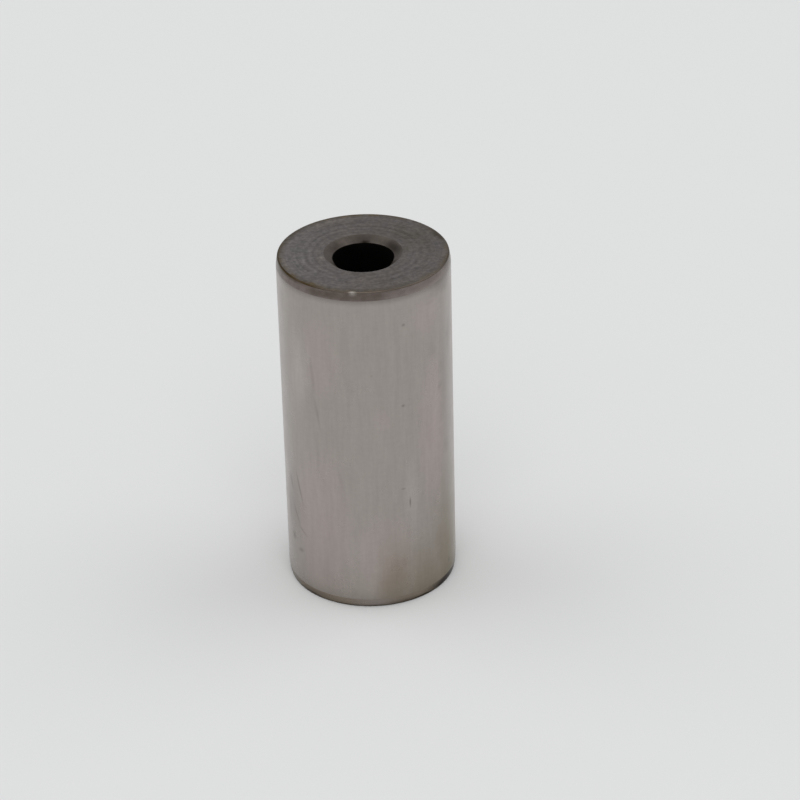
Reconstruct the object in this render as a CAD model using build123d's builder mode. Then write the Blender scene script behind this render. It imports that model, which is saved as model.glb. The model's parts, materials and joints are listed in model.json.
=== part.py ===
"""Hollow crank pin: a hardened and ground steel pin, bored right through.

The pin joins two crank webs. Each end has a shallow ground taper that leads it into the web's bore, a faced
end and a wide countersink at the mouth of the bore. The origin is at the centre of the lower end face, with
+Z along the pin's axis. Sizes are in millimetres.
"""

import os
from math import radians, tan

from build123d import *

# Overall size
pin_diameter = 22.0
pin_length = 46.0

# Through bore, with the same countersink at both mouths
bore_diameter = 7.8
countersink_width = 1.1
countersink_angle = 118.0

# Lead-in taper at each end of the ground diameter
lead_in_length = 1.2
lead_in_drop = 0.2

# Rounded edges, both run round the whole pin
rim_radius = 0.2
shoulder_radius = 4.0

# Derived sizes
pin_radius = pin_diameter / 2
bore_radius = bore_diameter / 2
mouth_radius = bore_radius + countersink_width
countersink_depth = countersink_width / tan(radians(countersink_angle / 2))
face_radius = pin_radius - lead_in_drop

with BuildPart() as crank_pin:
    # Half section through the wall of the pin, on one side of its axis
    with BuildSketch(Plane.XZ) as wall_section:
        with BuildLine():
            Polyline(
                (bore_radius, countersink_depth),
                (mouth_radius, 0),
                (face_radius, 0),
                (pin_radius, lead_in_length),
                (pin_radius, pin_length - lead_in_length),
                (face_radius, pin_length),
                (mouth_radius, pin_length),
                (bore_radius, pin_length - countersink_depth),
                close=True,
            )
        make_face()
        # Edge between each end face and its lead-in taper
        rim_corners = wall_section.vertices().group_by(Axis.X)[-2]
        fillet(rim_corners, radius=rim_radius)
        # Soft shoulder where each lead-in taper runs out into the ground diameter
        shoulder_corners = wall_section.vertices().group_by(Axis.X)[-1]
        fillet(shoulder_corners, radius=shoulder_radius)
    revolve(axis=Axis.Z)

crank_pin.part.label = "crank_pin"

os.makedirs("parts", exist_ok=True)
export_step(crank_pin.part, "parts/crank_pin.step")
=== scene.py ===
"""Finished look of a hollow crank pin: hardened bearing steel, standing on its lower end on a pale table.

The pin is one turned piece. Its section is drawn here as a chain of strips, one finish to a strip, and
turned about the Z axis by a Geometry Nodes tree, which also cuts the turning marks into both end faces.
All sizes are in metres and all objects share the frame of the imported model: origin at the centre of the
lower end face, +Z up. The finishes count in millimetres, because their marks and grain are given in them.
"""

import json
import logging
import math
from collections.abc import Sequence
from dataclasses import dataclass, replace
from enum import IntEnum
from typing import Any

import bpy
from mathutils import Matrix, Vector


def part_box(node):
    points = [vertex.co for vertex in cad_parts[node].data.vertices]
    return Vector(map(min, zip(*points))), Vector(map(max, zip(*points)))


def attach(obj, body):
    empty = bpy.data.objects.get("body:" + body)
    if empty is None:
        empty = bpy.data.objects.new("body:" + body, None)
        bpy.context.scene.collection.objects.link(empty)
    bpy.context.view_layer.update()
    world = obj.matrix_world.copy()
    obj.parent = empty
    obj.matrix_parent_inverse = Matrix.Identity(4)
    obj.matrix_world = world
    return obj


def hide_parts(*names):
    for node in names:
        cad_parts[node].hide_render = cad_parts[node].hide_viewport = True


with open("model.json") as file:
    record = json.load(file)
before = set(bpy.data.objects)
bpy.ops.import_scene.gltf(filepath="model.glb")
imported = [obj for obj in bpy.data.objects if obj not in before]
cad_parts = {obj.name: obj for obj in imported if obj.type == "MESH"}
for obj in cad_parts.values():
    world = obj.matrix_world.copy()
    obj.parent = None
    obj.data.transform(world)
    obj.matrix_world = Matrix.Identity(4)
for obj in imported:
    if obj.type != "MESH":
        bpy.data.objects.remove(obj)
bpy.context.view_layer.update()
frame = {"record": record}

MM = 0.001
NODE = "crank_pin"
MATH = "ShaderNodeMath"
VECTOR_MATH = "ShaderNodeVectorMath"
UNDER, OVER, MIXED = 6, 7, 2  # sockets of a Mix node that takes colours: its two inputs and its result
FIRST, SECOND = 2, 3  # inputs of a Compare node that takes whole numbers
log = logging.getLogger("crank_pin")

Point = tuple[float, float]
Colour = tuple[float, float, float, float]
Socket = bpy.types.NodeSocket
Tree = bpy.types.NodeTree


class Zone(IntEnum):
    """Finishes met along the pin's section. The value is the number that the lathe gives the zone."""

    JOURNAL = 0
    LEAD_IN = 1
    RIM = 2
    END_FACE = 3
    COUNTERSINK = 4
    BORE = 5
    OILED_SHADED_LEAD_IN = 6
    OILED_SHADED_RIM = 7


# zones that look different at the lower end: oil from the table has crept in, and shade is painted on them
UNDERSIDE = {Zone.LEAD_IN: Zone.OILED_SHADED_LEAD_IN, Zone.RIM: Zone.OILED_SHADED_RIM}


def put(tree: Tree, kind: str, settings: dict[str, Any], sockets: dict[Any, Any]) -> bpy.types.Node:
    """Add one node to a tree, with its settings, values and links.

    Args:
        tree: shader or geometry tree that gets the node.
        kind: Blender's name for the node's type.
        settings: the node's own properties, by name.
        sockets: inputs by name or index; a socket is linked, any other value is set.

    Returns:
        The new node.
    """
    node = tree.nodes.new(kind)
    for name, value in settings.items():
        setattr(node, name, value)
    for key, value in sockets.items():
        if isinstance(value, Socket):
            tree.links.new(value, node.inputs[key])
        else:
            node.inputs[key].default_value = value
    return node


def linear(code: str) -> Colour:
    """Turn an sRGB hex colour into the linear RGBA that a shader takes.

    Args:
        code: colour such as "#B9B2AC".

    Returns:
        Linear red, green and blue, with alpha 1.
    """
    channels = [int(code[place : place + 2], 16) / 255 for place in (1, 3, 5)]
    red, green, blue = (
        level / 12.92 if level <= 0.04045 else ((level + 0.055) / 1.055) ** 2.4 for level in channels
    )
    return (red, green, blue, 1.0)


def around(azimuth: float, radius: float, height: float) -> Vector:
    """Place a point by its azimuth in degrees from the front (-Y), positive towards +X."""
    turn = math.radians(azimuth)
    return Vector((radius * math.sin(turn), -radius * math.cos(turn), height))


@dataclass(frozen=True)
class PinSizes:
    """Sizes of the pin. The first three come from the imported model."""

    radius: float
    length: float
    bore_radius: float
    lead_in_length: float = 1.2 * MM
    lead_in_drop: float = 0.2 * MM
    rim_radius: float = 0.2 * MM
    shoulder_radius: float = 4.0 * MM
    countersink_width: float = 1.1 * MM
    countersink_angle: float = 118.0
    mouth_break: float = 0.1 * MM
    throat_break: float = 0.08 * MM

    @property
    def face_radius(self) -> float:
        """Radius of the end face's sharp corner, before the rim is rounded."""
        return self.radius - self.lead_in_drop

    @property
    def mouth_radius(self) -> float:
        """Radius of the countersink where it meets the end face."""
        return self.bore_radius + self.countersink_width

    @property
    def countersink_depth(self) -> float:
        """Depth of the countersink below the end face."""
        return self.countersink_width / math.tan(math.radians(self.countersink_angle / 2))


@dataclass(frozen=True)
class Strip:
    """A stretch of the section that has one finish."""

    zone: Zone
    points: tuple[Point, ...]


def run(start: Point, end: Point, step: float) -> tuple[Point, ...]:
    """Divide a straight stretch of the section.

    Args:
        start: first point, as radius and height.
        end: last point.
        step: longest step between neighbouring points.

    Returns:
        The points from start to end, both included.
    """
    count = max(1, math.ceil(math.dist(start, end) / step))
    return tuple(
        (start[0] + (end[0] - start[0]) * n / count, start[1] + (end[1] - start[1]) * n / count)
        for n in range(count + 1)
    )


def rounding(before: Point, corner: Point, after: Point, radius: float, chords: int) -> tuple[Point, ...]:
    """Round a corner of the section with a tangent arc.

    Args:
        before: a point on the line that comes into the corner.
        corner: the sharp corner.
        after: a point on the line that leaves it.
        radius: radius of the arc.
        chords: number of chords in the arc.

    Returns:
        The points of the arc, from the first tangent point to the last.
    """
    at = Vector(corner)
    back = (Vector(before) - at).normalized()
    forth = (Vector(after) - at).normalized()
    half = back.angle(forth) / 2
    centre = at + (back + forth).normalized() * (radius / math.sin(half))
    first = at + back * (radius / math.tan(half)) - centre
    last = at + forth * (radius / math.tan(half)) - centre
    sweep = first.angle_signed(last)
    points = []
    for n in range(chords + 1):
        spoke = first.copy()
        spoke.rotate(Matrix.Rotation(-sweep * n / chords, 2))
        points.append(tuple(centre + spoke))
    return tuple(points)


def run_out(cut: float, edge: float) -> float:
    """Let a cut run out softly, over the height of an edge, instead of ending at once."""
    return max(cut, 0.0) + max(0.0, 1 - abs(cut) / edge) ** 2 * edge / 4


ARC_RADIUS = 11.0  # the way round the pin is counted at this distance from the axis, in millimetres


@dataclass(frozen=True)
class Spot:
    """Where on the pin a finish is being shaded: sockets that count in millimetres.

    The point is the place itself. The wall gives the way round the pin from the front and the height, and
    the disc the way round and the distance from the axis, so that marks are laid on both like stencils.
    """

    point: Socket
    wall: Socket
    disc: Socket
    radius: Socket

    @classmethod
    def on(cls, tree: Tree) -> "Spot":
        """Read the place from the object's own coordinates.

        Args:
            tree: shader tree of the finish.

        Returns:
            The sockets of the place.
        """
        given = put(tree, "ShaderNodeTexCoord", {}, {})
        scaled = {0: given.outputs["Object"], "Scale": 1 / MM}
        point = put(tree, VECTOR_MATH, {"operation": "SCALE"}, scaled).outputs["Vector"]
        axes = put(tree, "ShaderNodeSeparateXYZ", {}, {"Vector": point}).outputs
        front = put(tree, MATH, {"operation": "MULTIPLY"}, {0: axes["Y"], 1: -1.0}).outputs[0]
        turn = put(tree, MATH, {"operation": "ARCTAN2"}, {0: axes["X"], 1: front}).outputs[0]
        way = put(tree, MATH, {"operation": "MULTIPLY"}, {0: turn, 1: ARC_RADIUS}).outputs[0]
        flat = put(tree, "ShaderNodeCombineXYZ", {}, {"X": axes["X"], "Y": axes["Y"]}).outputs[0]
        radius = put(tree, VECTOR_MATH, {"operation": "LENGTH"}, {0: flat}).outputs["Value"]
        wall = put(tree, "ShaderNodeCombineXYZ", {}, {"X": way, "Y": axes["Z"]}).outputs[0]
        disc = put(tree, "ShaderNodeCombineXYZ", {}, {"X": way, "Y": radius}).outputs[0]
        return cls(point, wall, disc, radius)


@dataclass(frozen=True)
class Grain:
    """A random pattern, drawn out along the axis or round it: a cover, a shade or a roughness.

    The size is that of one patch across the pattern in millimetres, and the stretch says how many times
    longer a patch is along X and Y, and along Z. Its value runs from low to high.
    """

    size: float
    stretch: Point
    low: float
    high: float
    detail: float = 2.0
    contrast: float = 0.2

    def on(self, tree: Tree, spot: Spot) -> Socket:
        """Draw the pattern.

        Args:
            tree: shader tree of the finish.
            spot: the place that is being shaded.

        Returns:
            The pattern's value.
        """
        across, along = (1 / (self.size * times) for times in self.stretch)
        drawn = put(tree, "ShaderNodeMapping", {}, {"Vector": spot.point, "Scale": (across, across, along)})
        patches = {"Vector": drawn.outputs[0], "Scale": 1.0, "Detail": self.detail}
        noise = put(tree, "ShaderNodeTexNoise", {}, patches)
        spread = {
            "Value": noise.outputs[0],
            "From Min": 0.5 - self.contrast,
            "From Max": 0.5 + self.contrast,
            "To Min": self.low,
            "To Max": self.high,
        }
        return put(tree, "ShaderNodeMapRange", {"interpolation_type": "SMOOTHSTEP"}, spread).outputs[0]


@dataclass(frozen=True)
class Mark:
    """A soft-edged oval mark of use or of making, laid on the pin's wall or on its end face.

    Marks are written in the order of these fields. The azimuth is in degrees from the front, positive to
    the right. Along is the height on the wall or the distance from the axis on the face, and the two half
    sizes are across and along, all in millimetres. The cover is what the mark hides at its middle, where
    more than 1 widens what is wholly hidden, and the lean turns its top to the left, in degrees.
    """

    azimuth: float
    along: float
    half_width: float
    half_length: float
    cover: float
    lean: float = 0.0


def lay_marks(tree: Tree, stencil: Socket, marks: Sequence[Mark]) -> Socket:
    """Lay marks on the wall or on the disc.

    A mark that reaches past the back is laid again a full turn away, so that it does not end there. One that
    is centred on the front is not: it meets itself at the back.

    Args:
        tree: shader tree of the finish.
        stencil: the place on the wall or on the disc.
        marks: the marks to lay; where they meet, the stronger one shows.

    Returns:
        How much of the surface they cover, from 0 to 1.
    """
    laid = list(marks)
    for mark in marks:
        reach = math.degrees(mark.half_width / ARC_RADIUS)
        if mark.azimuth and abs(mark.azimuth) + reach > 180:
            laid.append(replace(mark, azimuth=mark.azimuth - math.copysign(360, mark.azimuth)))
    cover = None
    for mark in laid:
        oval = {
            "Vector": stencil,
            "Location": (math.radians(mark.azimuth) * ARC_RADIUS, mark.along, 0.0),
            "Rotation": (0.0, 0.0, math.radians(mark.lean)),
            "Scale": (mark.half_width, mark.half_length, 1.0),
        }
        inside = put(tree, "ShaderNodeMapping", {"vector_type": "TEXTURE"}, oval).outputs[0]
        away = put(tree, VECTOR_MATH, {"operation": "LENGTH"}, {0: inside}).outputs["Value"]
        fade = {"Value": away, "From Min": 1.0, "From Max": 0.0, "To Max": mark.cover}
        shape = put(tree, "ShaderNodeMapRange", {"interpolation_type": "SMOOTHSTEP"}, fade).outputs[0]
        if cover is None:
            cover = shape
        else:
            cover = put(tree, MATH, {"operation": "MAXIMUM"}, {0: cover, 1: shape}).outputs[0]
    return cover


def roughen(tree: Tree, stencil: Socket, spot: Spot, size: float, reach: float) -> Socket:
    """Shift a stencil at random, so that what is laid on it gets ragged edges.

    Args:
        tree: shader tree of the finish.
        stencil: the place on the wall or on the disc.
        spot: the place that is being shaded.
        size: size of one bay of the ragged edge, in millimetres.
        reach: furthest shift, in millimetres.

    Returns:
        The shifted stencil.
    """
    bays = {"Vector": spot.point, "Scale": 1 / size, "Detail": 3.0, "Roughness": 0.6}
    noise = put(tree, "ShaderNodeTexNoise", {}, bays).outputs["Color"]
    centred = put(tree, VECTOR_MATH, {"operation": "SUBTRACT"}, {0: noise, 1: (0.5, 0.5, 0.5)}).outputs[0]
    shift = {0: centred, 1: (2 * reach, 2 * reach, 0.0), 2: stencil}
    return put(tree, VECTOR_MATH, {"operation": "MULTIPLY_ADD"}, shift).outputs[0]


@dataclass(frozen=True)
class Band:
    """A ring-shaped cover that grows outwards between two distances from the axis, in millimetres."""

    start: float
    end: float
    cover: float

    def on(self, tree: Tree, spot: Spot) -> Socket:
        """Draw the band on a shader tree, at the place that is being shaded."""
        rise = {"Value": spot.radius, "From Min": self.start, "From Max": self.end, "To Max": self.cover}
        return put(tree, "ShaderNodeMapRange", {"interpolation_type": "SMOOTHSTEP"}, rise).outputs[0]


@dataclass(frozen=True)
class Rings:
    """Shade of the feed marks of a facing tool, which goes as far above 1 as below it.

    The feed is in millimetres and the trough is the shade of the darkest rings.
    """

    feed: float
    trough: Grain
    contrast: float = 0.2

    def on(self, tree: Tree, spot: Spot) -> Socket:
        """Draw the rings.

        Args:
            tree: shader tree of the finish.
            spot: the place that is being shaded.

        Returns:
            The shade.
        """
        trough = self.trough.on(tree, spot)
        crest = put(tree, MATH, {"operation": "SUBTRACT"}, {0: 2.0, 1: trough}).outputs[0]
        turned = put(tree, MATH, {"operation": "DIVIDE"}, {0: spot.radius, 1: self.feed}).outputs[0]
        noise = put(tree, "ShaderNodeTexNoise", {"noise_dimensions": "1D"}, {"W": turned, "Scale": 1.0})
        spread = {
            "Value": noise.outputs[0],
            "From Min": 0.5 - self.contrast,
            "From Max": 0.5 + self.contrast,
            "To Min": trough,
            "To Max": crest,
        }
        return put(tree, "ShaderNodeMapRange", {}, spread).outputs[0]


@dataclass(frozen=True)
class Layer:
    """A colour laid over the steel where a pattern or marks say. Marks may have ragged edges."""

    code: str
    where: Grain | Band | tuple[Mark, ...]
    ragged: bool = True


Steps = tuple[Layer | Grain | Rings, ...]
EVEN = (1.0, 1.0)  # stretch of a grain that is as long as it is wide
FINE_LINES = Grain(size=0.35, stretch=(60.0, 1.0), low=0.0, high=1.0)  # left by the wheel or the tool
LINE_DEPTH = 0.001 * MM
LINE_STRENGTH = 0.5
ACROSS_LINES = 0.25  # turn of the stretched highlight, in whole turns
UNEVENNESS = 0.1  # share by which the roughness goes up and down in soft cloudy patches
BARE_STEEL_AND_GLINT = "#E6E0DA"  # nick's bare steel on taper and rim, partly a painted glint
NICK = Mark(azimuth=-7.9, along=45.88, half_width=0.7, half_length=0.64, cover=0.3)
SCRATCH = Mark(azimuth=27.1, along=15.1, half_width=0.2, half_length=1.1, cover=0.5)


@dataclass(frozen=True)
class SteelFinish:
    """What every finish of the pin shares: bare bearing steel whose marks run round the axis.

    The steel is metallic with the default IOR. Its fine lines stretch the highlight along the axis on the
    outside, and from the middle outwards on the faces. The grazing value is how much of a clean metal's
    mirror shine is left at a flat angle, where old oil takes it away; at the lower end it is also painted
    shade, for the shade of the table under the foot, which the lower edge reflects. The steps lie over the
    plain colour: layers cover it and the other patterns shade it. On a face the layers' marks lie on the
    disc, elsewhere on the wall. Bay and fray are the size and the reach of the bays in their ragged edges,
    in millimetres.
    """

    name: str
    colour: str
    roughness: float
    anisotropy: float
    grazing: float = 1.0
    steps: Steps = ()
    on_face: bool = False
    bay: float = 1.0
    fray: float = 0.0

    def material(self) -> bpy.types.Material:
        """Build the material from the finish's own colour, roughness and relief.

        Returns:
            The new material.
        """
        material = bpy.data.materials.new(self.name)
        material.use_nodes = True
        tree = material.node_tree
        tree.nodes.clear()
        spot = Spot.on(tree)
        tangent = put(tree, "ShaderNodeTangent", {"direction_type": "RADIAL", "axis": "Z"}, {})
        steel = {
            "Base Color": self.colour_at(tree, spot),
            "Metallic": 1.0,
            "Specular Tint": (self.grazing, self.grazing, self.grazing, 1.0),
            "Roughness": self.roughness_at(tree, spot),
            "Normal": self.relief_at(tree, spot),
            "Anisotropic": self.anisotropy,
            "Anisotropic Rotation": ACROSS_LINES,
            "Tangent": tangent.outputs["Tangent"],
        }
        shader = put(tree, "ShaderNodeBsdfPrincipled", {}, steel)
        put(tree, "ShaderNodeOutputMaterial", {}, {"Surface": shader.outputs["BSDF"]})
        return material

    def colour_at(self, tree: Tree, spot: Spot) -> Socket | Colour:
        """Lay the steps over the plain colour, in their order.

        Args:
            tree: shader tree of the finish.
            spot: the place that is being shaded.

        Returns:
            The colour.
        """
        sharp = spot.disc if self.on_face else spot.wall
        ragged = roughen(tree, sharp, spot, self.bay, self.fray) if self.fray else sharp
        colour = linear(self.colour)
        for step in self.steps:
            if not isinstance(step, Layer):
                shaded = {0: colour, "Scale": step.on(tree, spot)}
                colour = put(tree, VECTOR_MATH, {"operation": "SCALE"}, shaded).outputs[0]
                continue
            if isinstance(step.where, tuple):
                cover = lay_marks(tree, ragged if step.ragged else sharp, step.where)
            else:
                cover = step.where.on(tree, spot)
            covered = {0: cover, UNDER: colour, OVER: linear(step.code)}
            colour = put(tree, "ShaderNodeMix", {"data_type": "RGBA"}, covered).outputs[MIXED]
        return colour

    def roughness_at(self, tree: Tree, spot: Spot) -> Socket:
        """Give the roughness, a little uneven in soft cloudy patches."""
        low, high = self.roughness * (1 - UNEVENNESS), self.roughness * (1 + UNEVENNESS)
        return Grain(size=3.0, stretch=EVEN, low=low, high=high).on(tree, spot)

    def relief_at(self, tree: Tree, spot: Spot) -> Socket:
        """Give the relief of the fine lines that the wheel or the tool leaves round the axis."""
        relief = {"Height": FINE_LINES.on(tree, spot), "Strength": LINE_STRENGTH, "Distance": LINE_DEPTH}
        return put(tree, "ShaderNodeBump", {}, relief).outputs[0]


SMEAR_AND_SHADE = "#4A423B"  # smears, scratches, darker bands at top and foot, painted shade low on the right
WARM_PATCHES = (
    Mark(-38, 12, 7.5, 17, 1.0),
    Mark(-34, 36, 4.5, 9, 0.7),
    Mark(-50, 32, 3.5, 9, 0.4),
    Mark(50, 24, 4.6, 18, 1.0),
    Mark(46, 41, 5.5, 5, 0.6),
    Mark(10, 28, 2.4, 3, 0.5),
    Mark(8, 8, 6.0, 9, 0.8),
)
BRIGHT_PATCHES = (
    Mark(-51, 33, 2.6, 9, 0.4),
    Mark(-42, 17, 3.2, 18, 0.16),
    Mark(29, 16, 1.6, 10, 0.28),
)
DARK_PATCHES = (
    # partly dark oil, partly painted shade: the table's shade low on the right, reflected in the journal
    Mark(76, 1.0, 3.5, 2.2, 0.35),
    Mark(-71, 8, 3.0, 4.0, 0.08),
    Mark(60, 41.5, 1.6, 2.4, 0.1),
    Mark(13, 12, 2.6, 4.0, 0.05),
    Mark(48, 35.5, 1.6, 2.0, 0.1),
    Mark(57, 30, 1.4, 1.5, 0.22),
    Mark(62, 20.5, 2.0, 2.5, 0.22),
    Mark(69, 36, 1.6, 4.0, 0.16),
    Mark(61, 27, 2.2, 23, 0.17),
    Mark(12, 36, 1.0, 5.0, 0.04),
    Mark(-66, 12, 3.0, 9.0, 0.2),
    Mark(62, 44.4, 4.8, 2.8, 0.34),
    Mark(48, 42.4, 0.9, 0.8, 0.12),
    Mark(-57, 44.2, 4.0, 1.5, 0.1),
)
FINE_MARKS = (
    Mark(-38.3, 33, 0.45, 4.0, 0.13, lean=6),
    Mark(-35.6, 28, 0.35, 3.6, 0.15, lean=9),
    Mark(-36.5, 22, 0.35, 5.0, 0.07),
    Mark(-20, 19, 0.4, 3.0, 0.07, lean=12),
    Mark(-56.0, 15.6, 0.3, 3.8, 0.33, lean=17),
    Mark(-61, 11.2, 0.3, 2.6, 0.3, lean=30),
    Mark(-67, 15.6, 0.5, 2.0, 0.3, lean=20),
    Mark(-71, 11, 0.6, 2.6, 0.25),
    Mark(-54, 9.2, 0.3, 1.6, 0.28, lean=60),
    Mark(-66, 7.4, 0.9, 0.9, 0.4),
    Mark(-57, 6.0, 1.0, 0.5, 0.3, lean=20),
    Mark(25.2, 40.8, 0.4, 0.3, 0.35),
    Mark(23.7, 29.4, 0.36, 0.28, 0.4),
    Mark(22.5, 17.3, 0.5, 0.2, 0.3),
    Mark(3, 34.3, 0.25, 0.25, 0.15),
    Mark(65, 3.0, 0.5, 0.6, 0.3),
    # the next two are faint bands all round, darker towards the top of the journal and towards its foot
    Mark(0, 45.1, 60, 1.25, 0.45),
    Mark(-20, 0.8, 35, 2.6, 0.17),
    SCRATCH,
)
# olive film: partly oil, partly a painted reflection of a stain and of shade on the table near the foot
OIL_FILM_AND_PAINTED_SHADE = (
    Mark(41, 0, 10.0, 12.5, 0.49),
    Mark(16, 3, 4.4, 10, 0.46),
    Mark(65, 0, 6.0, 23, 0.64),
    Mark(0, 0, 60, 9, 0.08),
)
GROUND_GRAINS = (
    Grain(size=1.0, stretch=(1.0, 7.0), low=0.98, high=1.02),  # painted reflection: upright streaks
    Grain(size=0.35, stretch=(1.0, 10.0), low=0.98, high=1.02),  # finer painted reflection streaks
    Grain(size=0.5, stretch=(1.3, 1.0), low=0.985, high=1.015),  # mottling of the lapped steel
    Grain(size=0.35, stretch=(60.0, 1.0), low=0.996, high=1.004),  # lines from the grinding wheel
)


@dataclass(frozen=True)
class GroundJournal(SteelFinish):
    """Hardened bearing steel, ground round the axis and lapped.

    It gives the eye a soft satin grey that lightens towards the sides, with faint upright streaks that are
    a painted reflection of the surroundings, a slightly warmer tint where preserving oil has dried, and an
    olive film low on the right that is partly oil and partly a painted reflection of a stain and of shade
    on the table. Painted shade, partly dark oil, also darkens its foot on the right.
    """

    name: str = "bearing_steel_ground_and_lapped"
    colour: str = "#A7A09B"
    roughness: float = 0.3
    anisotropy: float = 0.5
    bay: float = 3.0
    fray: float = 1.2
    steps: Steps = (
        Layer("#AEA3A0", WARM_PATCHES),
        Layer("#BDB7B2", BRIGHT_PATCHES),
        *GROUND_GRAINS,
        Layer(SMEAR_AND_SHADE, DARK_PATCHES),
        Layer("#706340", OIL_FILM_AND_PAINTED_SHADE),
        Layer(SMEAR_AND_SHADE, FINE_MARKS, ragged=False),
    )


SKIN = "#4F453E"  # dark skin of hardening
WORN_AND_LIT_STEEL = "#948B86"  # steel with skin or oil rubbed off; painted light at the lower taper's front
OCHRE = "#3C2E13"  # dried oil
OCHRE_LINE = (
    Mark(-72, 45.8, 10.0, 0.5, 0.8),
    Mark(-14, 45.5, 9.0, 0.9, 0.2),
    Mark(88, 45.7, 5.5, 0.7, 0.8),
)
WORN_CLEAN = (
    Mark(50, 44.8, 9.0, 1.3, 0.75),
    Mark(15, 45.0, 1.6, 0.5, 0.35),
)
SKIN_LEFT = (
    Mark(-29, 45.3, 2.6, 0.8, 0.35),
    Mark(1, 45.5, 1.6, 0.8, 0.3),
    Mark(46, 45.3, 2.6, 0.7, 0.25),
)
SKIN_CLOUDS = Grain(size=0.9, stretch=(1.6, 1.0), low=0.0, high=0.5)


@dataclass(frozen=True)
class GroundLeadIn(SteelFinish):
    """Bearing steel, rough ground to the shallow taper and left with the dark skin of hardening.

    It gives the eye a dull brown-grey band, cloudy and uneven, darker than the journal: partly the skin and
    partly painted shade, standing in for dark surroundings reflected in the taper.
    """

    name: str = "bearing_steel_taper_with_skin_and_painted_shade"
    # partly the skin, partly painted shade for dark surroundings reflected in the taper
    colour: str = "#7D736F"
    roughness: float = 0.27
    anisotropy: float = 0.3
    fray: float = 0.12
    steps: Steps = (
        Layer(SKIN, SKIN_CLOUDS),
        Layer(WORN_AND_LIT_STEEL, WORN_CLEAN),
        Layer(SKIN, SKIN_LEFT),
        Layer(OCHRE, OCHRE_LINE),
        Layer(BARE_STEEL_AND_GLINT, (NICK,), ragged=False),
    )


OCHRE_RIM = (
    Mark(-80, 46, 12.0, 2.0, 1.3),
    Mark(-42, 46, 4.2, 2.0, 0.85),
    Mark(86, 46, 5.0, 2.0, 0.8),
)


@dataclass(frozen=True)
class WornRim(SteelFinish):
    """The rounded edge between the end face and the taper, with the dark skin of hardening still on it.

    It gives the eye a thin dark line, ochre at both sides where oil has dried on it. The dark is partly the
    skin and partly painted shade, standing in for dark surroundings reflected in the edge.
    """

    name: str = "bearing_steel_rim_with_skin_and_painted_shade"
    # dark: partly the skin, partly painted shade for dark surroundings reflected in the edge
    colour: str = "#605850"
    roughness: float = 0.35
    anisotropy: float = 0.2
    steps: Steps = (Layer(OCHRE, OCHRE_RIM), Layer(BARE_STEEL_AND_GLINT, (NICK,)))


STALE_BASE = (Mark(0, 0.5, 60, 5, 1.2),)
# partly old oil, partly painted shade: the table's shade under the foot that the lower taper reflects
OILED_AND_SHADED_BASE = (
    Mark(66, 0.4, 7.0, 1.5, 1.4),
    Mark(26, 0.1, 6.5, 0.8, 0.6),
    Mark(-44, 0.5, 5.5, 1.0, 0.3),
    Mark(36, 0, 4.5, 0.75, 1.2),
    Mark(-48, 0.1, 4.5, 0.8, 0.8),
    Mark(0, 0, 60, 0.6, 0.45),
)
# painted light: lightens the front of the lower taper against the table's shade that it reflects
PAINTED_LIGHT_BASE = (Mark(0, 0.7, 4.2, 1.3, 1.1),)


@dataclass(frozen=True)
class OiledShadedLeadIn(GroundLeadIn):
    """The lower taper, under old oil that has crept in from the table.

    It gives the eye a dull olive-grey band that shines little at a flat angle, nearly black on the right and
    lighter at the front. Its dullness and its near black on the right are partly old oil and partly painted
    shade, for the table's shade under the foot that the taper reflects. Its lighter front is painted light.
    """

    name: str = "bearing_steel_taper_under_old_oil_and_painted_shade"
    # less shine at a flat angle: partly old oil, partly painted shade of the table under the foot
    grazing: float = 0.75
    steps: Steps = (
        *GroundLeadIn.steps,
        Layer("#8C8276", STALE_BASE),
        Layer(WORN_AND_LIT_STEEL, PAINTED_LIGHT_BASE),
        Layer("#261C10", OILED_AND_SHADED_BASE),
    )


@dataclass(frozen=True)
class OiledShadedRim(SteelFinish):
    """The lower rounded edge, in the old oil on the table.

    It gives the eye a thin line, nearly black, that shines little at a flat angle: partly old oil and partly
    painted shade, for the table's shade under the foot that the edge reflects.
    """

    name: str = "bearing_steel_rim_under_old_oil_and_painted_shade"
    # nearly black: partly old oil, partly painted shade where the edge stands on the table
    colour: str = "#44392A"
    roughness: float = 0.35
    anisotropy: float = 0.2
    # little shine at a flat angle: partly old oil, partly painted shade under the foot
    grazing: float = 0.35


DULL = "#5F5A54"  # dull grey-brown of the right side and of a stretch of the edge
PALE_SIDE = (Mark(-80, 9.0, 17.0, 5.5, 1.1),)
DULL_SIDE = (
    Mark(124, 7.4, 11.0, 4.5, 1.1),
    Mark(150, 8.0, 4.0, 2.0, 0.8),
    Mark(92, 5.4, 4.5, 1.0, 1.3),
    Mark(180, 5.5, 4.0, 0.9, 0.9),
    Mark(31, 8.0, 3.0, 1.5, 0.6),
)
# lighter patches near the mouth and near the outer edge
LIGHTER_EDGE = (
    Mark(-75, 5.4, 4.5, 0.7, 0.6),
    Mark(0, 7.7, 2.5, 1.6, 0.35),
    Mark(-150, 9.6, 5.0, 0.9, 0.6),
    Mark(-74, 10.2, 4.5, 0.5, 0.7),
)
GREY_EDGE = (Mark(30, 10.6, 6.0, 0.8, 0.8),)
OCHRE_EDGE = (
    Mark(-56, 10.5, 5.0, 0.6, 0.7),
    Mark(-43, 10.5, 4.0, 0.55, 0.8),
    Mark(-98, 10.65, 6.0, 0.35, 0.7),
    Mark(176, 10.5, 7.0, 0.6, 0.4),
    Mark(-172, 10.5, 4.0, 0.6, 0.3),
)
BROWN_EDGE = (
    Mark(114, 10.4, 5.0, 0.9, 0.85),
    Mark(-118, 10.5, 6.0, 0.7, 0.7),
)
BLUED_CLOUDS = Grain(size=1.3, stretch=EVEN, low=-0.4, high=0.6)  # below 0 nothing is blued
WORN_RINGS = Grain(size=4.0, stretch=EVEN, low=0.98, high=0.84)  # shade of the darkest rings, place by place
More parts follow.
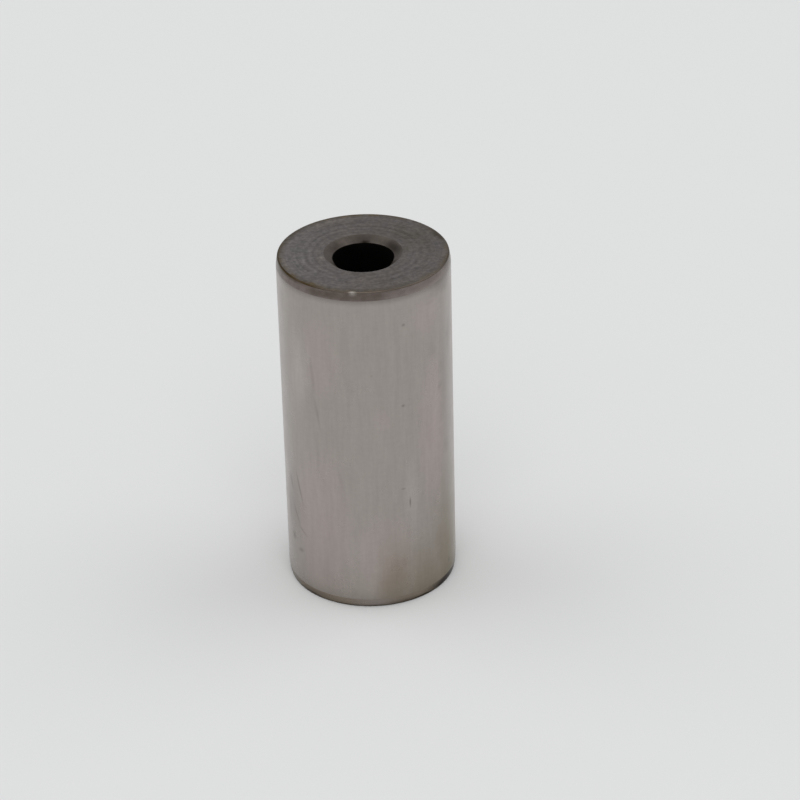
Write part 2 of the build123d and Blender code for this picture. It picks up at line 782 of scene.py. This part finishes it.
FACE_GRAINS = (  # mottling in three sizes
    Grain(size=0.9, stretch=EVEN, low=0.9, high=1.1),
    Grain(size=0.45, stretch=EVEN, low=0.88, high=1.12),
    Grain(size=2.5, stretch=EVEN, low=0.95, high=1.05),
)


@dataclass(frozen=True)
class FacedEnd(SteelFinish):
    """Bearing steel, faced on the lathe before hardening and left dark.

    It gives the eye a flat dark grey with fine concentric rings, paler on the left and browner on the right
    and along the edge. The dark grey is partly the face's own finish and partly painted shade, standing in
    for a darker room reflected in it. The rings are coarser than a tool leaves them, so that they show.
    """

    name: str = "bearing_steel_faced_and_hardened"
    # dark grey: partly the face's own finish, partly painted shade for a darker room reflected in it
    colour: str = "#6B6562"
    roughness: float = 0.42
    anisotropy: float = 0.3
    on_face: bool = True
    bay: float = 1.5
    fray: float = 0.6
    steps: Steps = (
        Layer("#767170", PALE_SIDE),
        Layer(DULL, DULL_SIDE),
        Layer("#615748", Band(start=9.6, end=10.7, cover=0.85)),
        Layer(DULL, GREY_EDGE),
        Layer("#40382E", BROWN_EDGE),
        Layer("#5C4C28", OCHRE_EDGE),
        Layer("#827B74", LIGHTER_EDGE),
        Layer("#656262", BLUED_CLOUDS),
        Rings(feed=0.5, trough=WORN_RINGS),
        *FACE_GRAINS,
    )


# darker near the bore's edge, most of all behind the bore
DARK_CRESCENTS = (
    Mark(116, 4.3, 9.0, 1.1, 0.85),
    Mark(-126, 4.2, 6.0, 1.0, 0.45),
    Mark(176, 3.9, 3.5, 0.7, 1.0),
    Mark(-178, 4.3, 7.0, 1.2, 0.5),
    Mark(-62, 4.0, 3.0, 0.7, 0.8),
    Mark(60, 4.1, 3.0, 0.8, 1.0),
)


@dataclass(frozen=True)
class CutCountersink(SteelFinish):
    """Bearing steel, countersunk with a drill point and left with the dark skin of hardening.

    It gives the eye a dull brown-grey cone, partly the skin and partly painted shade for a darker room
    reflected in it, with dark crescents near the bore's edge, most of them behind the bore.
    """

    name: str = "bearing_steel_countersunk_and_hardened"
    # partly the skin, partly painted shade for a darker room reflected in the cone
    colour: str = "#625B56"
    roughness: float = 0.6
    anisotropy: float = 0.3
    on_face: bool = True
    fray: float = 0.3
    steps: Steps = (
        Layer("#2A251F", DARK_CRESCENTS),
        Grain(size=0.5, stretch=EVEN, low=0.93, high=1.07),
    )


@dataclass(frozen=True)
class DrilledBore(SteelFinish):
    """Bearing steel, drilled deep and left black from hardening.

    It gives the eye a hole that goes black at once: the near black is partly from hardening and partly
    painted shade of the deep hole.
    """

    name: str = "bearing_steel_drilled_blackened_and_shaded"
    # near black: partly from hardening, partly painted shade of the deep hole
    colour: str = "#1A1816"
    roughness: float = 0.6
    anisotropy: float = 0.0


LATHE_INPUTS = {
    "Section": "NodeSocketGeometry",
    "Path Radius": "NodeSocketFloat",
    "Stations": "NodeSocketInt",
    "Crowding": "NodeSocketFloat",
    "Feed": "NodeSocketFloat",
    "Groove Depth": "NodeSocketFloat",
    "Groove Fade": "NodeSocketFloat",
    "Face Inner Radius": "NodeSocketFloat",
    "Face Outer Radius": "NodeSocketFloat",
    "Half Length": "NodeSocketFloat",
    "Seed": "NodeSocketFloat",
}
WELD = 0.001 * MM  # points nearer to each other than this become one
ON_FACE = 0.0005 * MM  # points nearer to an end face's plane than this belong to the face


@dataclass(frozen=True)
class Lathe:
    """Geometry Nodes tree that turns a section about the Z axis and cuts tool marks into the end faces."""

    name: str = "lathe"

    def tree(self, finishes: dict[Zone, bpy.types.Material]) -> Tree:
        """Build the tree.

        Args:
            finishes: the material of each zone.

        Returns:
            A tree with sockets for its sizes.
        """
        tree = bpy.data.node_groups.new(self.name, "GeometryNodeTree")
        for name, kind in LATHE_INPUTS.items():
            tree.interface.new_socket(name=name, in_out="INPUT", socket_type=kind)
        tree.interface.new_socket(name="Turned", in_out="OUTPUT", socket_type="NodeSocketGeometry")
        given = put(tree, "NodeGroupInput", {}, {}).outputs
        profile = put(tree, "GeometryNodeMeshToCurve", {}, {"Mesh": given["Section"]})
        sweep = {"Curve": self._path(tree, given), "Profile Curve": profile.outputs["Curve"]}
        skin = put(tree, "GeometryNodeCurveToMesh", {}, sweep)
        zone = put(tree, "GeometryNodeInputNamedAttribute", {"data_type": "INT"}, {"Name": "zone"})
        kept = put(
            tree,
            "GeometryNodeStoreNamedAttribute",
            {"data_type": "INT", "domain": "FACE"},
            {"Geometry": skin.outputs["Mesh"], "Name": "finish", "Value": zone.outputs["Attribute"]},
        )
        welded = {"Geometry": kept.outputs["Geometry"], "Distance": WELD}
        closed = put(tree, "GeometryNodeMergeByDistance", {}, welded)
        grooved = {"Geometry": closed.outputs["Geometry"], "Offset": self._tool_marks(tree, given)}
        cut = put(tree, "GeometryNodeSetPosition", {}, grooved)
        smooth = put(tree, "GeometryNodeSetShadeSmooth", {}, {"Geometry": cut.outputs["Geometry"]})
        last = put(tree, "GeometryNodeRealizeInstances", {}, {"Geometry": smooth.outputs["Geometry"]})
        finish = put(tree, "GeometryNodeInputNamedAttribute", {"data_type": "INT"}, {"Name": "finish"})
        for place, material in finishes.items():
            same = {FIRST: finish.outputs["Attribute"], SECOND: int(place)}
            here = put(tree, "FunctionNodeCompare", {"data_type": "INT", "operation": "EQUAL"}, same)
            coat = {
                "Geometry": last.outputs["Geometry"],
                "Selection": here.outputs["Result"],
                "Material": material,
            }
            last = put(tree, "GeometryNodeSetMaterial", {}, coat)
        put(tree, "NodeGroupOutput", {}, {"Turned": last.outputs["Geometry"]})
        return tree

    def _path(self, tree: Tree, given: bpy.types.NodeOutputs) -> Socket:
        """Lay the circular path, with its stations crowded towards the front where the marks of use are.

        Args:
            tree: the lathe's tree.
            given: the sockets of the tree's inputs.

        Returns:
            The path's curve.
        """
        stations = given["Stations"]
        circle = put(tree, "GeometryNodeCurvePrimitiveCircle", {}, {"Resolution": stations, "Radius": 1.0})
        index = put(tree, "GeometryNodeInputIndex", {}, {}).outputs[0]
        share = put(tree, MATH, {"operation": "DIVIDE"}, {0: index, 1: stations}).outputs[0]
        angle = put(tree, MATH, {"operation": "MULTIPLY"}, {0: share, 1: math.tau}).outputs[0]
        wave = put(tree, MATH, {"operation": "SINE"}, {0: angle}).outputs[0]
        pull = put(tree, MATH, {"operation": "MULTIPLY"}, {0: wave, 1: given["Crowding"]}).outputs[0]
        crowded = put(tree, MATH, {"operation": "SUBTRACT"}, {0: angle, 1: pull}).outputs[0]
        sine = put(tree, MATH, {"operation": "SINE"}, {0: crowded}).outputs[0]
        cosine = put(tree, MATH, {"operation": "COSINE"}, {0: crowded}).outputs[0]
        behind = put(tree, MATH, {"operation": "MULTIPLY"}, {0: cosine, 1: -1.0}).outputs[0]
        spoke = put(tree, "ShaderNodeCombineXYZ", {}, {"X": sine, "Y": behind}).outputs[0]
        reach = {0: spoke, "Scale": given["Path Radius"]}
        place = put(tree, VECTOR_MATH, {"operation": "SCALE"}, reach).outputs["Vector"]
        laid = {"Geometry": circle.outputs["Curve"], "Position": place}
        return put(tree, "GeometryNodeSetPosition", {}, laid).outputs["Geometry"]

    def _tool_marks(self, tree: Tree, given: bpy.types.NodeOutputs) -> Socket:
        """Cut uneven circular grooves into both end faces, fading out at the rim and at the countersink.

        Args:
            tree: the lathe's tree.
            given: the sockets of the tree's inputs.

        Returns:
            The offset of each point, inwards along the axis.
        """
        here = put(tree, "GeometryNodeInputPosition", {}, {}).outputs[0]
        axes = put(tree, "ShaderNodeSeparateXYZ", {}, {"Vector": here}).outputs
        flat = put(tree, "ShaderNodeCombineXYZ", {}, {"X": axes["X"], "Y": axes["Y"]}).outputs[0]
        radius = put(tree, VECTOR_MATH, {"operation": "LENGTH"}, {0: flat}).outputs["Value"]
        side = put(tree, MATH, {"operation": "SUBTRACT"}, {0: axes["Z"], 1: given["Half Length"]}).outputs[0]
        way = put(tree, MATH, {"operation": "SIGN"}, {0: side}).outputs[0]
        height = put(tree, MATH, {"operation": "ABSOLUTE"}, {0: side}).outputs[0]
        level = {0: height, 1: given["Half Length"], "Epsilon": ON_FACE}
        on_face = put(tree, "FunctionNodeCompare", {"data_type": "FLOAT", "operation": "EQUAL"}, level)
        inner, outer = given["Face Inner Radius"], given["Face Outer Radius"]
        inside = put(tree, MATH, {"operation": "SUBTRACT"}, {0: radius, 1: inner}).outputs[0]
        outside = put(tree, MATH, {"operation": "SUBTRACT"}, {0: outer, 1: radius}).outputs[0]
        nearest = put(tree, MATH, {"operation": "MINIMUM"}, {0: inside, 1: outside}).outputs[0]
        ramp = {"Value": nearest, "From Min": 0.0, "From Max": given["Groove Fade"]}
        fade = put(tree, "ShaderNodeMapRange", {"interpolation_type": "SMOOTHSTEP"}, ramp).outputs[0]
        turned = put(tree, MATH, {"operation": "DIVIDE"}, {0: radius, 1: given["Feed"]}).outputs[0]
        seeded = {0: way, 1: given["Seed"], 2: turned}
        phase = put(tree, MATH, {"operation": "MULTIPLY_ADD"}, seeded).outputs[0]
        uneven = {"W": phase, "Scale": 1.0, "Detail": 2.0, "Roughness": 0.6}
        depth = put(tree, "ShaderNodeTexNoise", {"noise_dimensions": "1D"}, uneven).outputs[0]
        for factor in (fade, on_face.outputs["Result"], given["Groove Depth"], way):
            depth = put(tree, MATH, {"operation": "MULTIPLY"}, {0: depth, 1: factor}).outputs[0]
        inwards = put(tree, MATH, {"operation": "MULTIPLY"}, {0: depth, 1: -1.0}).outputs[0]
        return put(tree, "ShaderNodeCombineXYZ", {}, {"Z": inwards}).outputs[0]


@dataclass(frozen=True)
class Fineness:
    """How finely the section is divided: the longest step of each stretch and the chords of each arc.

    The first ring is the depth of the bore's topmost ring, which keeps the bend of the worn lip above it.
    """

    bore_step: float = 2.0 * MM
    first_ring: float = 1.6 * MM
    cone_step: float = 0.12 * MM
    face_step: float = 0.1 * MM
    taper_step: float = 0.1 * MM
    journal_step: float = 0.7 * MM
    break_chords: int = 4
    rim_chords: int = 10
    shoulder_chords: int = 8


@dataclass(frozen=True)
class LipWear:
    """Cone that wears the near lip of the upper countersink. It stands a little towards the front.

    The mouth is its radius at the end face, and the slope its fall for each unit towards its own axis, which
    is steeper than the countersink's. It takes the depth away at most, and its cut runs out over the edge.
    """

    mouth: float = 4.5 * MM
    shift: float = 0.9 * MM
    slope: float = 0.95
    depth: float = 0.3 * MM
    edge: float = 0.2 * MM


@dataclass(frozen=True)
class CrankPin:
    """The pin itself, one piece of steel.

    The stations are the steps round the axis, and the crowding draws them together at the front, where the
    marks of use are. The feed, the depth and the fade are those of the grooves that the tool has turned into
    the end faces, and the seed picks their pattern.
    """

    sizes: PinSizes
    fineness: Fineness = Fineness()
    wear: LipWear = LipWear()
    nick_depth: float = 0.04 * MM
    scratch_depth: float = 0.008 * MM
    stations: int = 320
    crowding: float = 0.7
    feed: float = 0.3 * MM
    groove_depth: float = 0.018 * MM
    groove_fade: float = 0.5 * MM
    seed: float = 57.0

    def upper_half(self) -> list[Strip]:
        """Draw the section from the middle of the bore, over the upper end, to the middle of the journal.

        Returns:
            The strips in that order, each ending where the next one starts.
        """
        size = self.sizes
        fine = self.fineness
        waist = (size.bore_radius, size.length / 2)
        first = (size.bore_radius, size.length - fine.first_ring)
        throat = (size.bore_radius, size.length - size.countersink_depth)
        mouth = (size.mouth_radius, size.length)
        corner = (size.face_radius, size.length)
        shoulder = (size.radius, size.length - size.lead_in_length)
        belt = (size.radius, size.length / 2)
        throat_arc = rounding(waist, throat, mouth, size.throat_break, fine.break_chords)
        mouth_arc = rounding(throat, mouth, corner, size.mouth_break, fine.break_chords)
        rim_arc = rounding(mouth, corner, shoulder, size.rim_radius, fine.rim_chords)
        shoulder_arc = rounding(corner, shoulder, belt, size.shoulder_radius, fine.shoulder_chords)
        ridge = fine.shoulder_chords // 2
        taper = run(rim_arc[-1], shoulder_arc[0], fine.taper_step)
        return [
            Strip(Zone.BORE, run(waist, first, fine.bore_step) + throat_arc[:1]),
            Strip(Zone.COUNTERSINK, throat_arc[:-1] + run(throat_arc[-1], mouth_arc[0], fine.cone_step)),
            Strip(Zone.END_FACE, mouth_arc[:-1] + run(mouth_arc[-1], rim_arc[0], fine.face_step)),
            Strip(Zone.RIM, rim_arc),
            Strip(Zone.LEAD_IN, taper[:-1] + shoulder_arc[: ridge + 1]),
            Strip(Zone.JOURNAL, shoulder_arc[ridge:-1] + run(shoulder_arc[-1], belt, fine.journal_step)),
        ]

    def section(self) -> list[Strip]:
        """Close the section: the lower half mirrors the upper one, with the zones of the underside.

        Returns:
            The strips of the whole section, in order.
        """
        upper = self.upper_half()
        length = self.sizes.length
        lower = []
        for strip in reversed(upper):
            mirrored = tuple((radius, length - height) for radius, height in reversed(strip.points))
            lower.append(Strip(UNDERSIDE.get(strip.zone, strip.zone), mirrored))
        return upper + lower

    def section_mesh(self) -> bpy.types.Mesh:
        """Lay the section flat as loose edges, with its zones, ready for the lathe.

        Returns:
            A mesh with radius along X, from the path outwards, and height along -Y.
        """
        places: list[tuple[float, float, float]] = []
        edges: list[tuple[int, int]] = []
        zones: list[int] = []
        for strip in self.section():
            first = len(places)
            places += [(radius - self.sizes.radius, -height, 0.0) for radius, height in strip.points]
            edges += [(n, n + 1) for n in range(first, len(places) - 1)]
            zones += [int(strip.zone)] * len(strip.points)
        mesh = bpy.data.meshes.new("pin_section")
        mesh.from_pydata(places, edges, [])
        mesh.attributes.new("zone", "INT", "POINT").data.foreach_set("value", zones)
        return mesh

    def dent(self, mesh: bpy.types.Mesh, mark: Mark, depth: float) -> None:
        """Press a mark into the outside of the pin and leave the bore as it is.

        Args:
            mesh: the turned pin.
            mark: the dent's place and reach.
            depth: how deep it is at its middle, towards the axis.
        """
        for vertex in mesh.vertices:
            place = vertex.co
            turn = math.atan2(place.x, -place.y) - math.radians(mark.azimuth)
            across = turn * ARC_RADIUS / mark.half_width
            along = (place.z / MM - mark.along) / mark.half_length
            away = math.hypot(across, along)
            if away < 1 and math.hypot(place.x, place.y) > self.sizes.face_radius / 2:
                place -= around(mark.azimuth, 1.0, 0.0) * (depth * (1 - away * away) ** 2)

    def wear_lip(self, mesh: bpy.types.Mesh) -> None:
        """Wear the near lip of the upper countersink down to the cone, with a soft start and a soft floor.

        Args:
            mesh: the turned pin.
        """
        top = self.sizes.length
        wear = self.wear
        for vertex in mesh.vertices:
            place = vertex.co
            if place.z > top / 2:
                cone = top - (wear.mouth - math.hypot(place.x, place.y + wear.shift)) * wear.slope
                left = run_out(wear.depth - run_out(place.z - cone, wear.edge), wear.edge)
                place.z -= wear.depth - left

    def build(self, finishes: dict[Zone, bpy.types.Material]) -> bpy.types.Object:
        """Turn the pin, wear it and dent it.

        Args:
            finishes: the material of each zone.

        Returns:
            The finished piece, a plain mesh at the origin.
        """
        blank = bpy.data.objects.new("pin_blank", self.section_mesh())
        bpy.context.scene.collection.objects.link(blank)
        tree = Lathe().tree(finishes)
        modifier = blank.modifiers.new("lathe", "NODES")
        modifier.node_group = tree
        given = {
            "Path Radius": self.sizes.radius,
            "Stations": self.stations,
            "Crowding": self.crowding,
            "Feed": self.feed,
            "Groove Depth": self.groove_depth,
            "Groove Fade": self.groove_fade,
            "Face Inner Radius": self.sizes.mouth_radius,
            "Face Outer Radius": self.sizes.face_radius,
            "Half Length": self.sizes.length / 2,
            "Seed": self.seed,
        }
        for socket in tree.interface.items_tree:
            if socket.in_out == "INPUT" and socket.name in given:
                modifier[socket.identifier] = given[socket.name]
        shaped = blank.evaluated_get(bpy.context.evaluated_depsgraph_get())
        mesh = bpy.data.meshes.new_from_object(shaped)
        bpy.data.objects.remove(blank)
        self.wear_lip(mesh)
        self.dent(mesh, NICK, self.nick_depth)
        self.dent(mesh, SCRATCH, self.scratch_depth)
        mesh.name = "turned_pin"
        piece = bpy.data.objects.new("turned_pin", mesh)
        bpy.context.scene.collection.objects.link(piece)
        return piece


@dataclass(frozen=True)
class Softbox:
    """A square studio light that points at the pin, with its power in watts."""

    name: str
    place: tuple[float, float, float]
    size: float
    power: float

    def hang(self, aim: Vector) -> None:
        """Hang the light at its place.

        Args:
            aim: the point that it shines at.
        """
        light = bpy.data.lights.new(self.name, "AREA")
        light.shape = "SQUARE"
        light.size = self.size
        light.energy = self.power
        lamp = bpy.data.objects.new(self.name, light)
        lamp.location = self.place
        lamp.rotation_euler = (aim - Vector(self.place)).to_track_quat("-Z", "Y").to_euler()
        bpy.context.scene.collection.objects.link(lamp)


@dataclass(frozen=True)
class Studio:
    """Pale table, soft lights and a grey room."""

    table_reach: float = 0.9
    table_front: float = 0.45
    table_colour: str = "#E1E2E2"
    table_roughness: float = 0.9
    room: float = 0.62
    aim: tuple[float, float, float] = (0.0, 0.0, 0.02)
    softboxes: tuple[Softbox, ...] = (
        Softbox("left_softbox", (-1.5, 0.45, 1.8), 1.8, 9.4),
        Softbox("right_softbox", (1.5, 0.45, 1.8), 1.8, 9.4),
        Softbox("front_softbox", (0.0, -2.1, 2.9), 2.4, 27.0),
    )

    def build(self) -> None:
        """Lay the table, hang the lights and set the room's own light."""
        self._table()
        for softbox in self.softboxes:
            softbox.hang(Vector(self.aim))
        world = bpy.data.worlds.new("grey_room")
        bpy.context.scene.world = world
        world.use_nodes = True
        world.node_tree.nodes.clear()
        grey = (self.room, self.room, self.room, 1.0)
        sky = put(world.node_tree, "ShaderNodeBackground", {}, {"Color": grey, "Strength": 1.0})
        put(world.node_tree, "ShaderNodeOutputWorld", {}, {"Surface": sky.outputs["Background"]})

    def _table(self) -> None:
        """Lay a matt white table top that ends a little way in front of the pin."""
        side, front = self.table_reach, self.table_front
        corners = [(-side, -front, 0), (side, -front, 0), (side, side, 0), (-side, side, 0)]
        mesh = bpy.data.meshes.new("table_top")
        mesh.from_pydata(corners, [], [(0, 1, 2, 3)])
        table = bpy.data.objects.new("table_top", mesh)
        bpy.context.scene.collection.objects.link(table)
        material = bpy.data.materials.new("matt_white_laminate")
        material.use_nodes = True
        tree = material.node_tree
        tree.nodes.clear()
        laminate = {
            "Base Color": linear(self.table_colour),
            "Roughness": self.table_roughness,
            "Specular IOR Level": 0.0,
        }
        shader = put(tree, "ShaderNodeBsdfPrincipled", {}, laminate)
        put(tree, "ShaderNodeOutputMaterial", {}, {"Surface": shader.outputs["BSDF"]})
        mesh.materials.append(material)


@dataclass(frozen=True)
class Viewpoint:
    """The camera's station, in front of the pin and above it, looking down. Angles are in degrees."""

    distance: float = 0.41283
    elevation: float = 32.691
    pitch: float = 29.736
    yaw: float = 0.684
    roll: float = -1.471
    lens: float = 139.95
    sensor: float = 36.0
    clip_start: float = 0.01

    def build(self) -> bpy.types.Object:
        """Stand the camera at its station.

        Returns:
            The camera's object.
        """
        angles = (self.elevation, self.pitch, self.yaw, self.roll)
        elevation, pitch, yaw, roll = (math.radians(angle) for angle in angles)
        ahead = math.cos(pitch)
        forward = Vector((math.sin(yaw) * ahead, math.cos(yaw) * ahead, -math.sin(pitch)))
        right = forward.cross(Vector((0, 0, 1))).normalized()
        up = right.cross(forward)
        rolled_right = right * math.cos(roll) + up * math.sin(roll)
        rolled_up = up * math.cos(roll) - right * math.sin(roll)
        camera = bpy.data.cameras.new("camera")
        camera.lens = self.lens
        camera.sensor_width = self.sensor
        camera.clip_start = self.clip_start
        station = bpy.data.objects.new("camera", camera)
        turn = Matrix((rolled_right, rolled_up, -forward)).transposed().to_4x4()
        place = Vector((0, -self.distance * math.cos(elevation), self.distance * math.sin(elevation)))
        station.matrix_world = Matrix.Translation(place) @ turn
        bpy.context.scene.collection.objects.link(station)
        return station


def pin_sizes() -> PinSizes:
    """Read the pin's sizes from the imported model.

    Returns:
        The radius of the largest round section that its box holds, its length and its bore's radius.
    """
    low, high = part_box(NODE)
    dims = {mount["name"]: mount["dims"] for mount in frame["record"]["mounts"]}
    return PinSizes(
        radius=min(-low[0], high[0], -low[1], high[1]),
        length=high[2] - low[2],
        bore_radius=dims["bore"]["r_mm"] * MM,
    )


def main() -> None:
    """Build the pin and the studio round it, and report on the pin."""
    logging.basicConfig(level=logging.INFO, format="%(message)s")
    bpy.context.scene.view_settings.view_transform = "Standard"
    sizes = pin_sizes()
    log.info("pin: radius %.3f mm, length %.3f mm", sizes.radius / MM, sizes.length / MM)
    finishes = {
        Zone.JOURNAL: GroundJournal().material(),
        Zone.LEAD_IN: GroundLeadIn().material(),
        Zone.RIM: WornRim().material(),
        Zone.END_FACE: FacedEnd().material(),
        Zone.COUNTERSINK: CutCountersink().material(),
        Zone.BORE: DrilledBore().material(),
        Zone.OILED_SHADED_LEAD_IN: OiledShadedLeadIn().material(),
        Zone.OILED_SHADED_RIM: OiledShadedRim().material(),
    }
    pin = CrankPin(sizes).build(finishes)
    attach(pin, "root")
    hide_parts(NODE)
    log.info("%s: %d vertices, %d faces", pin.name, len(pin.data.vertices), len(pin.data.polygons))
    Studio().build()
    bpy.context.scene.camera = Viewpoint().build()


if __name__ == "__main__":
    main()
